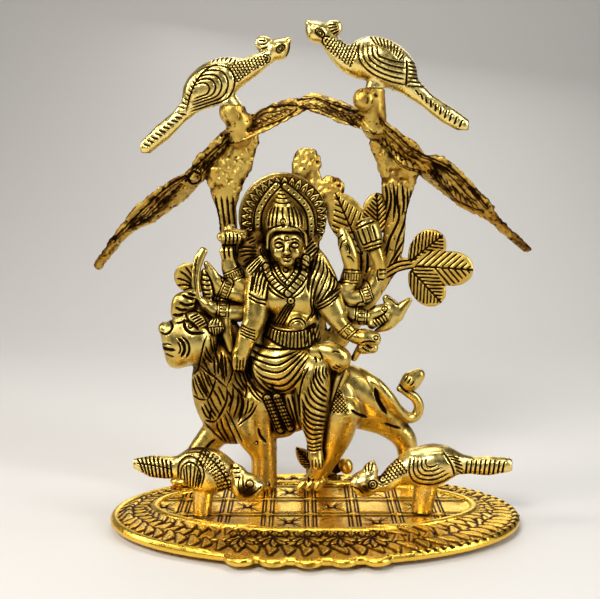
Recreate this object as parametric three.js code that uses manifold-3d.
// Eight-armed goddess seated on a lion beneath a forked tree with four peacocks, on an oval plate.
// Millimetres, +Z up, +Y away from the viewer, origin at the centre of the plate's underside.
import * as THREE from "three";
import { mergeVertices } from "three/addons/utils/BufferGeometryUtils.js";
import Module from "manifold-3d";

const wasm = await Module();
wasm.setup();

// Plate
const plateWidth = 178;
const plateDepth = 102;
const plateThickness = 3;
const footHeight = 2;
const footInset = 6;
const edgeTeeth = 28;
const toothDepth = 1.1;
const cartoucheReach = 2.4;
const cartoucheWidth = 96;
const outerRimWidth = 3;
const rimHeight = 1.2;
const beadRimWidth = 3;
const fieldWidth = 144;
const fieldDepth = 62;
const fieldCentreY = 8;
const fieldFrontY = -22;
const tilePitch = 18.4;
const tileBandWidth = 4.6;
const tileBandHeight = 0.5;
const borderLeaves = 22;
const borderLeafLength = 8;
const borderLeafWidth = 4.4;
const borderLeafHeight = 1.5;
const palmetteLobes = 5;

// Places on the plate, and how closely separate castings meet
const plateTop = footHeight + plateThickness;
const jointGap = 0.3;
const lionY = 36.5;
const treeY = 48.4;
const lowerBirdY = -3;
const upperBirdY = 36.5;
const figureBack = 51;
const leftStump = { x: -36, top: 174.6 };
const rightStump = { x: 26, top: 182 };
const stumpRoom = 17;

// Halo, crown and other things that repeat round a centre
const haloRadius = 20.3;
const haloThickness = 2.2;
const haloPetals = 18;
const haloRelief = 1.2;
const haloY = 41.2;
const petalLength = 5;
const petalNotch = 2.2;
const archRadius = 12.5;
const archBand = 2.6;
const crownFlutes = 6;
const crownRadius = 8.2;
const crownHeight = 22;
const beltRibs = 10;
const lapFolds = 4;
const legFolds = 5;
const maneRows = 3;
const maneLocks = 4;
const trunkFlutes = 2;

const gold = { color: 0xc8962c, roughness: 0.3, metalness: 1 };
const group = new THREE.Group();

const lerp = THREE.MathUtils.lerp;
const up = new THREE.Vector3(0, 0, 1);
const away = new THREE.Vector3(0, 1, 0);

// How far the castings on the plate stand from its centre, so that they keep their place at its back edge
const figureY = plateDepth / 2 - figureBack;

// A point of the castings on the plate, measured from the plate's top
function at(x, y, z) {
  return new THREE.Vector3(x, y + figureY, z + plateTop);
}

// A closed geometry as a solid, with its seam vertices merged
function toSolid(geometry) {
  const bare = geometry.clone();
  bare.deleteAttribute("normal");
  bare.deleteAttribute("uv");
  const merged = mergeVertices(bare, 1e-4);
  const index = merged.index.array;
  const triangles = [];
  for (let i = 0; i < index.length; i += 3) {
    const [a, b, c] = [index[i], index[i + 1], index[i + 2]];
    if (a !== b && b !== c && c !== a) triangles.push(a, b, c);
  }
  return new wasm.Manifold(new wasm.Mesh({
    numProp: 3,
    vertProperties: new Float32Array(merged.attributes.position.array),
    triVerts: new Uint32Array(triangles),
  }));
}

function join(solids) {
  return solids.reduce((all, next) => all.add(next));
}

function addPiece(name, solid) {
  const shape = solid.getMesh();
  const geometry = new THREE.BufferGeometry();
  geometry.setAttribute("position", new THREE.BufferAttribute(new Float32Array(shape.vertProperties), 3));
  geometry.setIndex(new THREE.BufferAttribute(new Uint32Array(shape.triVerts), 1));
  geometry.computeVertexNormals();
  const mesh = new THREE.Mesh(geometry, new THREE.MeshStandardMaterial(gold));
  mesh.name = name;
  group.add(mesh);
}

// Radius along a limb, read from a short list spread evenly over its length
function radiusAt(radii, t) {
  const place = t * (radii.length - 1);
  const low = Math.min(Math.floor(place), radii.length - 2);
  return lerp(radii[low], radii[low + 1], place - low);
}

// A tapering form along a smooth path, with rounded ends unless blunt. flat is its depth as a share
// of its width, tilt turns the section about the path, and even spaces its rings evenly.
function limb(points, radii, options = {}) {
  const { sides = 5, steps = 3, flat = 1, tilt = 0, facing = away, blunt = false, even = false } = options;
  const path = new THREE.CatmullRomCurve3(points, false, "catmullrom", 0.5);
  const geometry = new THREE.CylinderGeometry(1, 1, 1, sides, steps);
  const position = geometry.attributes.position;
  const endRoundness = 8;
  const endShare = blunt ? 1 : 0.45;
  for (let i = 0; i < position.count; i += 1) {
    const share = 0.5 - position.getY(i);
    const t = even ? share : (1 - Math.cos(Math.PI * share)) / 2;
    const round = Math.max(endShare, (1 - Math.abs(2 * t - 1) ** endRoundness) ** 0.5);
    const radius = radiusAt(radii, t) * round;
    const along = path.getTangent(t);
    const across = along.clone().cross(facing).normalize();
    const deep = along.clone().cross(across).normalize();
    const wide = position.getX(i) * radius;
    const thick = position.getZ(i) * radius * flat;
    const place = path.getPoint(t)
      .addScaledVector(across, wide * Math.cos(tilt) - thick * Math.sin(tilt))
      .addScaledVector(deep, wide * Math.sin(tilt) + thick * Math.cos(tilt));
    position.setXYZ(i, place.x, place.y, place.z);
  }
  return toSolid(geometry);
}

// An ellipsoid, turned in the plane of the picture by lean
function blob(centre, [rx, ry, rz], lean = 0, detail = [6, 4]) {
  const geometry = new THREE.SphereGeometry(1, ...detail);
  geometry.rotateX(Math.PI / 2);
  geometry.scale(rx, ry, rz);
  geometry.rotateY(-lean);
  geometry.translate(centre.x, centre.y, centre.z);
  return toSolid(geometry);
}

function block(width, depth, height, centre) {
  const geometry = new THREE.BoxGeometry(width, depth, height);
  geometry.translate(centre.x, centre.y, centre.z);
  return toSolid(geometry);
}

function plank(shape, bottom, height) {
  const geometry = new THREE.ExtrudeGeometry(shape, { depth: height, bevelEnabled: false });
  geometry.translate(0, 0, bottom);
  return toSolid(geometry);
}

// The plate's outline: an oval with small teeth, swelling into a lobed front cartouche
function plateOutline(inset, toothed) {
  const steps = toothed ? edgeTeeth * 2 : 36;
  const points = [];
  for (let i = 0; i < steps; i += 1) {
    const angle = (i / steps) * 2 * Math.PI;
    let reach = 0;
    let x = Math.cos(angle) * (plateWidth / 2 - inset);
    let y = Math.sin(angle) * (plateDepth / 2 - inset);
    if (toothed) reach = i % 2 ? 0 : -toothDepth;
    const side = Math.abs(x) / (cartoucheWidth / 2);
    if (y < 0 && side < 1) {
      y -= cartoucheReach * Math.cos(side * Math.PI / 2) ** 0.7;
    }
    x += Math.cos(angle) * reach;
    y += Math.sin(angle) * reach;
    points.push(new THREE.Vector2(x, y));
  }
  return points;
}

// The tiled field's outline, an oval cut straight along the front
function fieldOutline(grow) {
  const steps = 28;
  const points = [];
  for (let i = 0; i < steps; i += 1) {
    const angle = (i / steps) * 2 * Math.PI;
    const x = Math.cos(angle) * (fieldWidth / 2 + grow);
    const y = fieldCentreY + Math.sin(angle) * (fieldDepth / 2 + grow);
    points.push(new THREE.Vector2(x, Math.max(y, fieldFrontY - grow)));
  }
  return points;
}

function ringShape(outer, inner) {
  const shape = new THREE.Shape(outer);
  shape.holes.push(new THREE.Path(inner));
  return shape;
}

// Crossing bands between the tiles, kept inside the bead rim
function tileRelief() {
  const bottom = plateTop - jointGap;
  const height = jointGap + tileBandHeight;
  const middle = bottom + height / 2;
  const columns = Math.floor(fieldWidth / 2 / tilePitch);
  const rows = [-1, 0, 1];
  const parts = [];
  for (let column = -columns; column <= columns; column += 1) {
    parts.push(block(tileBandWidth, fieldDepth, height,
      new THREE.Vector3(column * tilePitch, fieldCentreY, middle)));
  }
  for (const row of rows) {
    parts.push(block(fieldWidth, tileBandWidth, height,
      new THREE.Vector3(0, fieldCentreY + row * tilePitch, middle)));
  }
  return join(parts).intersect(plank(new THREE.Shape(fieldOutline(0.5)), bottom - 1, height + 3));
}

// Leaves of the border, a loop round the plate, and the palmette of the cartouche
function borderRelief() {
  const parts = [];
  const low = plateTop - jointGap;
  for (let i = 0; i < borderLeaves; i += 1) {
    const angle = ((i + 0.5) / borderLeaves) * 2 * Math.PI;
    const inner = new THREE.Vector2(Math.cos(angle) * fieldWidth / 2,
      Math.max(fieldCentreY + Math.sin(angle) * fieldDepth / 2, fieldFrontY));
    const outer = new THREE.Vector2(Math.cos(angle) * plateWidth / 2, Math.sin(angle) * plateDepth / 2);
    const middle = inner.clone().lerp(outer, 0.5);
    const room = inner.distanceTo(outer) - outerRimWidth - beadRimWidth;
    const turn = Math.atan2(outer.y - inner.y, outer.x - inner.x) + (i % 2 ? 0.5 : -0.5);
    const leaf = new THREE.SphereGeometry(1, 4, 2);
    leaf.rotateX(Math.PI / 2);
    leaf.scale(Math.min(borderLeafLength, room) / 2, borderLeafWidth / 2, borderLeafHeight);
    leaf.rotateZ(turn);
    leaf.translate(middle.x, middle.y, low);
    parts.push(toSolid(leaf));
  }
  for (let i = 0; i < palmetteLobes; i += 1) {
    const share = i / (palmetteLobes - 1) - 0.5;
    const foot = new THREE.Vector3(share * cartoucheWidth * 0.35, -plateDepth / 2 + 12, low);
    const reach = plateDepth / 2 + cartoucheReach / 4 - 3;
    const tip = new THREE.Vector3(share * cartoucheWidth * 0.7, -reach, low);
    parts.push(limb([foot, tip], [1.6, 3.4, 2], { sides: 5, steps: 2, flat: 0.6, facing: up }));
  }
  return parts;
}

function basePlate() {
  const parts = [
    plank(new THREE.Shape(plateOutline(footInset, false)), 0, footHeight + jointGap),
    plank(new THREE.Shape(plateOutline(0, true)), footHeight, plateThickness),
    plank(ringShape(plateOutline(1.4, false), plateOutline(1.4 + outerRimWidth, false).reverse()),
      plateTop - jointGap, jointGap + rimHeight),
    plank(ringShape(fieldOutline(beadRimWidth), fieldOutline(0).reverse()),
      plateTop - jointGap, jointGap + rimHeight),
    tileRelief(),
    ...borderRelief(),
  ];
  addPiece("base_plate", join(parts));
}

// What the plate's relief takes up, with the joint gap, so that a casting cut by it stands on the plate
function plateClearance() {
  const fieldTop = plateTop + tileBandHeight + jointGap;
  const borderTop = plateTop + Math.max(rimHeight, borderLeafHeight) + jointGap;
  const wide = 2 * plateWidth;
  const low = new THREE.Vector3(0, 0, fieldTop / 2 - plateTop);
  return join([
    block(wide, wide, fieldTop + 2 * plateTop, low),
    plank(ringShape(plateOutline(-plateWidth / 4, false), fieldOutline(-jointGap).reverse()),
      0, borderTop),
  ]);
}

// The lion, walking to the left with its head raised
function lionSolids() {
  const y = lionY;
  const near = y - 5.5;
  const parts = [
    limb([at(-34, y, 41), at(-11, y, 40), at(10, y, 44), at(26, y, 40)], [14, 15, 12.4, 9],
      { sides: 7, flat: 0.62 }),
    limb([at(20, y, 48), at(33, y, 41), at(40, y, 33)], [7, 8, 5.5], { flat: 1 }),
    blob(at(-40, y - 1, 44), [16, 9.4, 25], 0.2, [8, 6]),
    blob(at(-57, y - 2.5, 70), [12, 10.5, 13.5], 0, [8, 6]),
    limb([at(-58, y - 3, 66), at(-67, y - 3, 67)], [9, 8, 6]),
    blob(at(-68.5, y - 3, 74), [3.4, 4, 3.2]),
    blob(at(-63.5, y - 3, 58.5), [5, 5, 4]),
    limb([at(-63, y - 3, 82), at(-57, y - 3, 87), at(-50, y - 3, 84)], [4, 5.5, 4]),
    blob(at(-47.4, near - 2.4, 75), [4.8, 2.8, 4.6], 0.3),
    limb([at(-24, near, 41), at(-24, near, 26), at(-23.4, near, 13), at(-23.4, near, 2.4)],
      [9, 6.5, 5.2, 5.6]),
    limb([at(-25, near, 26), at(-30, near, 20.5)], [5, 4.5], { steps: 3 }),
    blob(at(-24.6, near - 1.6, 2.9), [7, 6, 3]),
    limb([at(-38, y + 1, 34), at(-49, y, 19.5), at(-57, y - 2, 10), at(-59, y - 3, 2.6)],
      [8, 6, 4.6, 4.4]),
    blob(at(-61, y - 4, 2.7), [6, 4.6, 2.8]),
    limb([at(12, near, 36), at(9.5, near - 1, 24), at(5, near - 1, 13), at(0, near - 1, 4)],
      [10, 8, 5, 4]),
    limb([at(14, y, 38), at(27, y + 2, 31.5), at(40, y + 3, 25), at(44.6, y + 3, 15), at(44, y + 2, 2.8)],
      [8, 7.5, 6.5, 4.6, 4.2], { steps: 5 }),
    blob(at(42, y + 1.4, 2.8), [6.4, 4.6, 2.8]),
    limb([at(31, y, 46), at(38, y, 38.5), at(45, y, 31), at(51, y, 33), at(51.5, y, 39.5),
      at(46, y, 43), at(44.5, y, 47)], [3, 2.6, 2.5, 2.5, 2.4, 2.1, 2], { sides: 4, steps: 8 }),
    limb([at(44, y, 46.5), at(46.8, y, 50), at(49, y, 54)], [2.4, 4.2, 2.2], { steps: 4 }),
  ];
  for (const toe of [-1, 0, 1]) {
    parts.push(limb([at(1 + toe * 2.6, near - 2, 4), at(-2.4 + toe * 3.4, near - 4.5, 2.2)], [2.2, 2.1],
      { sides: 5, steps: 2, facing: up }));
  }
  return parts;
}

// Rows of pointed locks laid over the mane, each row lower and further back than the last
function maneSolids() {
  const parts = [];
  for (let row = 0; row < maneRows; row += 1) {
    for (let i = 0; i < maneLocks; i += 1) {
      const share = i / (maneLocks - 1) - 0.5;
      const x = -40 + share * 25 + row * 2.2;
      const z = 66 - row * 15 - Math.abs(share) * 4;
      const front = lionY - 10 * Math.sqrt(Math.max(0.2, 1 - (share * 1.6) ** 2)) - 0.6;
      parts.push(limb([at(x, front + 1.2, z), at(x + 1.5, front, z - 8), at(x + 3.4, front + 1, z - 18)],
        [2.2, 3.4, 1], { sides: 4, steps: 2, flat: 0.5 }));
    }
  }
  return parts;
}

// Body, head, crown and seat of the goddess
function goddessSolids() {
  const x = -12.3;
  const parts = [
    blob(at(x, 30.5, 111.5), [6.6, 7.4, 8.8], 0, [8, 6]),
    limb([at(x, 34, 96), at(x, 33, 106)], [5, 4.4], { steps: 3 }),
    blob(at(x, 23.4, 110.6), [1.2, 1.4, 2.2], 0, [5, 4]),
    limb([at(-23.4, 35, 96.5), at(x, 34, 99), at(3, 35, 96.5)], [6.5, 6, 6.5], { flat: 1 }),
    blob(at(-10.5, 34.5, 91), [13.6, 9, 13], 0, [8, 4]),
    blob(at(-8.5, 33.5, 79), [11.4, 9, 9]),
    blob(at(-17, 27.5, 88), [5.6, 4.2, 5.6]),
    blob(at(-5, 27.5, 88), [5.6, 4.2, 5.6]),
    blob(at(-8.5, 32, 68), [13.8, 11.5, 7]),
    blob(at(-4, 32, 109), [4.6, 4, 6]),
    blob(at(-20.4, 34, 109), [4, 3.6, 6]),
    block(11, 8, 9, at(x, 37.6, 107)),
    blob(at(-14, 26.5, 58), [15.5, 9.5, 13.5], 0.15, [8, 5]),
    limb([at(-4, 27, 66), at(7, 24.5, 63), at(15.6, 24.5, 60)], [8, 7.4, 4.8], { steps: 5 }),
    limb([at(-4, 25.5, 58), at(-0.6, 23.5, 42), at(-0.4, 23, 29), at(0.4, 23, 17.5)], [10, 8.6, 5.6, 3.4]),
    limb([at(0.5, 23.5, 17), at(2, 21, 12)], [3.2, 3.2], { steps: 3, flat: 0.9 }),
    limb([at(-21, 27, 46), at(-15, 27, 29)], [2.2, 2.2], { sides: 6, steps: 3 }),
    limb([at(-16.4, 26.5, 45), at(-10.4, 26.5, 28)], [2.2, 2.2], { sides: 6, steps: 3 }),
    limb([at(12.6, 28, 53), at(6.6, 26.6, 36)], [2.8, 1.2], { steps: 3 }),
    blob(at(11.6, 29, 42), [4.6, 3.4, 9]),
    limb([at(-17.4, 27.2, 28.2), at(-6.6, 26.2, 30)], [2.6, 2.6], { steps: 1, blunt: true }),
    crown(x),
    blob(at(x, 31, 140), [2.1, 2.1, 2.6]),
  ];
  parts.push(ribbedBelt(at(-8.5, 32, 63.5), 13.6, 11.2, 10));
  for (let i = 0; i < lapFolds; i += 1) {
    const drop = 68 - i * 4.4;
    const half = 13.5 - i * 0.8;
    const front = 17.5 + Math.abs(i - 1.5) * 0.9;
    const swag = [at(-15 - half, front + 7, drop - 1), at(-15, front, drop - 8),
      at(-15 + half, front + 5, drop)];
    parts.push(limb(swag, [1, 1.7, 1], { sides: 4, steps: 3 }));
  }
  for (let i = 0; i < legFolds; i += 1) {
    const z = 52 - i * 5;
    const half = 8.4 - i * 0.75;
    const front = 23.2 - half;
    const side = front + half * 0.8;
    const fold = [at(-0.6 - half, side, z + 1), at(-0.6, front, z - 3), at(-0.6 + half, side, z - 4)];
    parts.push(limb(fold, [0.9, 1.4, 0.9], { sides: 4, steps: 2 }));
  }
  return parts;
}

// An oval band with upright ribs
function ribbedBelt(foot, halfWidth, halfDepth, height) {
  const outline = [];
  for (let i = 0; i < beltRibs * 2; i += 1) {
    const angle = (i / (beltRibs * 2)) * 2 * Math.PI;
    const rib = i % 2 ? 0 : -1.1;
    outline.push(new THREE.Vector2(foot.x + Math.cos(angle) * (halfWidth + rib),
      foot.y + Math.sin(angle) * (halfDepth + rib)));
  }
  return plank(new THREE.Shape(outline), foot.z, height);
}

// A fluted bulb with stepped rings above
function crown(x) {
  const profile = [[0, 0], [1, 0], [1.02, 0.13], [0.92, 0.17], [0.9, 0.42], [0.68, 0.62],
    [0.42, 0.7], [0.4, 0.8], [0, 0.96]];
  const geometry = new THREE.LatheGeometry(
    profile.map(([r, z]) => new THREE.Vector2(r * crownRadius, z * crownHeight)), crownFlutes * 2);
  geometry.rotateX(Math.PI / 2);
  const position = geometry.attributes.position;
  for (let i = 0; i < position.count; i += 1) {
    const height = position.getZ(i) / crownHeight;
    const angle = Math.atan2(position.getY(i), position.getX(i));
    const flute = height > 0.14 && height < 0.6 ? 1 + 0.05 * Math.cos(angle * crownFlutes) : 1;
    position.setX(i, position.getX(i) * flute);
    position.setY(i, position.getY(i) * flute);
  }
  geometry.translate(x, 31 + figureY, plateTop + 118.6);
  return toSolid(geometry);
}

// A flat outline drawn in the picture plane, thickened towards the viewer from depth y
function upright(shape, centre, y, thickness) {
  const geometry = new THREE.ExtrudeGeometry(shape, { depth: thickness, bevelEnabled: false });
  geometry.rotateX(Math.PI / 2);
  geometry.translate(centre.x, y + figureY, centre.z);
  return toSolid(geometry);
}

// Points round a centre, from a radius that may change with the angle
function roundOutline(steps, radius) {
  const points = [];
  for (let i = 0; i < steps; i += 1) {
    const angle = (i / steps) * 2 * Math.PI;
    points.push(new THREE.Vector2(Math.cos(angle), Math.sin(angle)).multiplyScalar(radius(angle, i)));
  }
  return points;
}

// Disc with a ring of petals and a pointed arch band, standing behind the head
function haloSolids() {
  const centre = at(-13.8, 0, 124.2);
  const front = haloY - haloThickness / 2;
  const petalTip = haloRadius - 1.2;
  const archAt = (grow) => (angle) => archRadius * (1 + 0.25 * Math.max(0, Math.sin(angle)) ** 6) + grow;
  const disc = new THREE.Shape(roundOutline(24, () => haloRadius));
  const petals = roundOutline(haloPetals * 2, (angle, i) => petalTip - (i % 2 ? petalNotch : 0));
  const petalFoot = roundOutline(haloPetals / 2, () => petalTip - petalLength);
  const arch = roundOutline(16, archAt(archBand / 2));
  const archInside = roundOutline(16, archAt(-archBand / 2));
  return [
    upright(disc, centre, front + haloThickness, haloThickness),
    upright(ringShape(petals, petalFoot.reverse()), centre, front + jointGap, jointGap + haloRelief),
    upright(ringShape(arch, archInside.reverse()), centre, front + jointGap, jointGap + haloRelief),
  ];
}

// An arm from shoulder to hand, with one ring for each radius; the wider rings are its bracelet
function arm(points, radii) {
  return limb(points, radii, { steps: radii.length - 1, even: true });
}

function armSolids() {
  const back = 38;
  return [
    arm([at(-24.6, 33, 97), at(-26.6, 29, 82), at(-30.5, 27.5, 72.5), at(-33.2, 26.6, 62),
      at(-33.6, 26.4, 53)], [6.4, 6, 5.2, 4.6, 5.3, 3.8, 3.8, 2.8]),
    arm([at(-22, back, 92), at(-35.5, back, 98.5), at(-38.5, back, 106.5), at(-38.4, back - 2, 119)],
      [5.2, 5, 5.6, 5, 3.6, 3.2, 4.4, 3.4]),
    arm([at(-22, back, 88), at(-34, back - 1, 89.5), at(-42, back - 1, 92), at(-48.6, back - 1, 101)],
      [5, 4.6, 4.4, 5, 5, 3.4, 2.6, 1.6]),
    arm([at(-22, back, 82), at(-34, back - 2, 81.5), at(-42, back - 3, 82), at(-54, back - 4.4, 85.4)],
      [5, 4.4, 4.2, 4.8, 4.8, 3.4, 4.8, 4]),
    limb([at(-49, back - 5, 80), at(-54, back - 4, 88), at(-55.4, back - 3, 98), at(-50.4, back - 2, 111)],
      [1.6, 1.9, 2.4, 1.4], { sides: 4, flat: 0.6, steps: 5 }),
    arm([at(2, 34, 96), at(10.5, 31, 80), at(16.6, 29, 72.6), at(31, 27.6, 70)],
      [6.4, 5.6, 5, 5.4, 5.4, 4, 5.2, 4.6]),
    limb([at(17, 27.6, 61), at(21.6, 26.4, 70)], [1.4, 1.8], { steps: 1, blunt: true }),
    arm([at(2, back - 1, 89), at(13, back - 1, 82.5), at(22, back - 2, 79.4), at(35.5, back - 3, 79.6)],
      [5.4, 5, 4.4, 5, 5, 3.6, 4.4, 3.8]),
    limb([at(29.6, back - 4, 73), at(36.4, back - 4, 77.5), at(40.5, back - 3, 83), at(43.6, back - 3, 87)],
      [4.2, 5, 3.6, 1.2], { flat: 0.8 }),
    arm([at(4, back, 94), at(15.6, back, 88.4), at(24.6, back, 90.4), at(29.6, back, 100),
      at(28.6, back - 1, 109), at(27, back - 2, 121)], [5.2, 4.8, 5.2, 4.2, 3.4, 3.2, 5.6, 6]),
    arm([at(6, back + 1, 92), at(15, back, 93), at(16.6, back - 1, 103), at(14.6, back - 2, 121)],
      [4.6, 4.2, 4.8, 4.6, 3.4, 3, 4.2, 4]),
  ];
}

function durgaOnLion() {
  const figure = join([...lionSolids(), ...maneSolids(), ...goddessSolids(), ...haloSolids(),
    ...armSolids()]);
  addPiece("durga_on_lion", figure.subtract(plateClearance()));
}

// A leaf blade along a path, thin across its tilted width
function blade(points, widths, tilt, steps = 4) {
  return limb(points, widths, { sides: 4, steps, flat: 0.34, tilt });
}

// A spray leaf standing in the picture plane, with its midrib as a ridge
function sprayLeaf(foot, tip, width) {
  const middle = foot.clone().lerp(tip, 0.55);
  return limb([foot, middle, tip], [width * 0.35, width * 0.52, width * 0.42, width * 0.14],
    { sides: 4, steps: 3, flat: 0.3 });
}

// One trunk behind the figure, forking into two fluted boughs
function boughSolids() {
  const y = treeY;
  const left = [at(1, y, 58), at(-24, y - 0.4, 88), at(-37.6, y - 1, 108), at(-40.6, y - 1.6, 126),
    at(-42, y - 3, 142), at(-37, y - 6, 160)];
  const right = [at(3, y, 58), at(24, y - 0.4, 86), at(35.6, y - 1, 106), at(38.2, y - 1.6, 126),
    at(38.4, y - 3, 144), at(34, y - 6, 158)];
  const parts = [
    limb([at(4, y, 0), at(3, y, 30), at(2, y, 66)], [8.4, 6.6, 6.4], { flat: 0.4 }),
    limb(left, [6, 5.4, 4.6, 4.8, 7, 8], { steps: 5, flat: 0.5 }),
    limb(right, [6, 6, 6, 5.6, 7.4, 8.6], { steps: 5, flat: 0.5 }),
  ];
  for (let i = 0; i < trunkFlutes; i += 1) {
    const shift = (i - (trunkFlutes - 1) / 2) * 2.7;
    const rightRib = [at(37 + shift * 0.9, y - 3.2, 108), at(38.2 + shift, y - 4, 126),
      at(38.4 + shift * 1.2, y - 5.4, 142)];
    const leftRib = [at(-38.6 + shift * 0.8, y - 3, 114), at(-39.8 + shift * 0.8, y - 3.4, 126),
      at(-40.6 + shift * 1.1, y - 5, 142)];
    for (const rib of [leftRib, rightRib]) {
      parts.push(limb(rib, [0.9, 1.1, 1], { sides: 4, steps: 2 }));
    }
  }
  return parts;
}

function canopySolids() {
  const y = treeY - 9;
  return [
    blade([at(-4.4, y, 175.4), at(-20, y, 169.6), at(-34, y, 162.4)], [4.6, 8.6, 7], 0.95),
    blade([at(-31, y, 166), at(-44.6, y, 153.4), at(-56, y + 0.5, 142)], [6.6, 9.4, 6.4], -0.95),
    blob(at(-54, y - 1, 145), [2.8, 3, 2.8], 0, [5, 4]),
    blade([at(-52, y, 144.4), at(-69, y, 131.8), at(-85.6, y, 120.4), at(-100.3, y, 102.2)],
      [5, 11, 5, 3.2], -0.95, 5),
    blade([at(-8, y, 175.6), at(8, y, 174), at(25, y, 167)], [4, 8.6, 8], -0.95),
    blade([at(22, y, 168.4), at(36.4, y, 156.4), at(50, y, 147)], [7, 10.4, 7.4], 0.95),
    blade([at(47, y, 149.6), at(66.8, y, 138.4), at(78.6, y, 127.6), at(99, y, 109.4)],
      [7, 13, 6, 3.4], 0.95, 5),
    limb([at(-33.6, y, 162), at(leftStump.x, upperBirdY, leftStump.top + 3)], [6, 5.4], { steps: 2 }),
    limb([at(27, y, 166), at(rightStump.x, upperBirdY, rightStump.top + 3)], [6, 5.8], { steps: 2 }),
    blob(at(rightStump.x - 4, upperBirdY - 2.6, rightStump.top - 4), [5, 4.6, 5]),
  ];
}

function leafSolids() {
  const y = treeY - 0.8;
  return [
    limb([at(30, y, 100), at(46.2, y - 1, 103.4)], [3.4, 2.6], { steps: 3, flat: 0.7 }),
    sprayLeaf(at(44, y - 1, 103.4), at(62, y - 2, 120.4), 15),
    sprayLeaf(at(45, y - 1, 102.4), at(74, y - 2, 99.6), 16),
    sprayLeaf(at(42, y - 1, 102), at(54.6, y - 2, 86.4), 15),
    sprayLeaf(at(25, y, 94), at(13.6, y, 133), 15),
    sprayLeaf(at(33, y, 102), at(28.4, y, 136), 11),
    limb([at(2, treeY, 60), at(-1, treeY, 100), at(-3, y, 126)], [6, 5, 5], { flat: 0.5 }),
    limb([at(-28, y, 90), at(-52, y, 93)], [3, 2.4], { steps: 3, flat: 0.7 }),
    sprayLeaf(at(-50, y, 89), at(-62, y - 2, 102), 12),
    limb([at(-3.4, y, 118), at(-3.3, y, 150)], [6.4, 6.4], { flat: 0.3 }),
    blob(at(-3.3, y, 149.2), [7, 2, 8]),
    blob(at(8, y, 137), [7, 1.8, 6], 0.6),
    sprayLeaf(at(1, y, 3), at(-8.6, y - 1, 15), 7),
    sprayLeaf(at(6, y, 1), at(16.4, y - 1, 8), 6),
  ];
}

function tree() {
  let whole = join([...boughSolids(), ...canopySolids(), ...leafSolids()]);
  for (const stump of [leftStump, rightStump]) {
    const above = at(stump.x, upperBirdY, stump.top + stumpRoom / 2);
    whole = whole.subtract(block(stumpRoom, stumpRoom, stumpRoom, above));
  }
  addPiece("tree", whole.subtract(plateClearance()));
}

// A peacock in the picture plane. facingX is 1 for a bird that looks to the right. neck and tail run
// from the body outwards, and foot is the top of what it stands on.
function peacock(name, { facingX, body, lean, size, neck, tail, crest, beak, foot, footRadius, stump }) {
  const [bx, by, bz] = size;
  const parts = [
    blob(body, [bx, by, bz], lean, [8, 5]),
    limb([...neck, beak], [bz * 0.76, bz * 0.52, 3.7, 3.7, 4.2, 1.6], { steps: 5, even: true }),
    blob(crest, [3.2, 1.3, 4], 0, [5, 4]),
    limb(tail, [bz * 0.62, 3.6, 3.8, 2.6], { sides: 5, flat: 1.2 }),
    limb([body.clone().lerp(foot, 0.3), foot], [footRadius, footRadius * 0.8], { steps: 1, blunt: true }),
  ];
  for (const side of [-1, 1]) {
    const wing = new THREE.Vector3(body.x - facingX * 1.5, body.y + side * by * 0.8, body.z);
    parts.push(blob(wing, [bx * 0.72, by * 0.42, bz * 0.74], lean, [6, 4]));
  }
  let bird = join(parts);
  if (stump) {
    const top = at(stump.x, upperBirdY, stump.top + jointGap - stumpRoom / 2);
    bird = bird.subtract(block(stumpRoom, stumpRoom, stumpRoom, top));
  } else {
    bird = bird.subtract(plateClearance());
  }
  addPiece(name, bird);
}

// A short post on the plate under each lower bird is cast with the bird
function peacocks() {
  const high = upperBirdY;
  const low = lowerBirdY;
  peacock("peacock_upper_left", {
    facingX: 1, body: at(-45, high, 184.4), lean: 0.56, size: [15.5, 8, 9.6],
    neck: [at(-38, high, 188), at(-23, high, 193), at(-15.4, high, 199.4)],
    tail: [at(-52, high, 178), at(-64, high, 166), at(-76, high, 155.8)],
    crest: at(-21.4, high, 200.4), beak: at(-10.2, high, 202.6),
    foot: at(leftStump.x, high, leftStump.top - 3), footRadius: 4.6, stump: leftStump,
  });
  peacock("peacock_upper_right", {
    facingX: -1, body: at(30, high, 192), lean: -0.5, size: [16.5, 8, 9.6],
    neck: [at(20, high, 194), at(8.6, high, 198.6), at(2.2, high, 205)],
    tail: [at(40, high, 185), at(55, high, 173.4), at(67, high, 166)],
    crest: at(8, high, 207.6), beak: at(-3.6, high, 210.8),
    foot: at(rightStump.x, high, rightStump.top - 3), footRadius: 5, stump: rightStump,
  });
  peacock("peacock_lower_left", {
    facingX: 1, body: at(-47, low, 19.5), lean: -0.3, size: [13, 8, 8.6],
    neck: [at(-42, low, 20.5), at(-33.6, low - 4, 15.6), at(-28.6, low - 7, 10.6)],
    tail: [at(-56, low, 21.6), at(-67, low + 1, 20.6), at(-76.6, low + 2, 20.4)],
    crest: at(-32, low - 4.6, 19), beak: at(-23, low - 10, 9.4),
    foot: at(-49, low - 2, 0), footRadius: 4.4,
  });
  peacock("peacock_lower_right", {
    facingX: -1, body: at(49, low + 2, 21), lean: 0.2, size: [14, 8, 9],
    neck: [at(43, low + 1, 21), at(32, low - 2, 17), at(24.4, low - 5, 12.8)],
    tail: [at(59, low + 2, 22), at(71, low + 3, 20.4), at(83.4, low + 4, 20.2)],
    crest: at(23.4, low - 4, 18.4), beak: at(16, low - 7, 12.6),
    foot: at(46, low + 2, 0), footRadius: 4.4,
  });
}

basePlate();
durgaOnLion();
tree();
peacocks();

export default group;
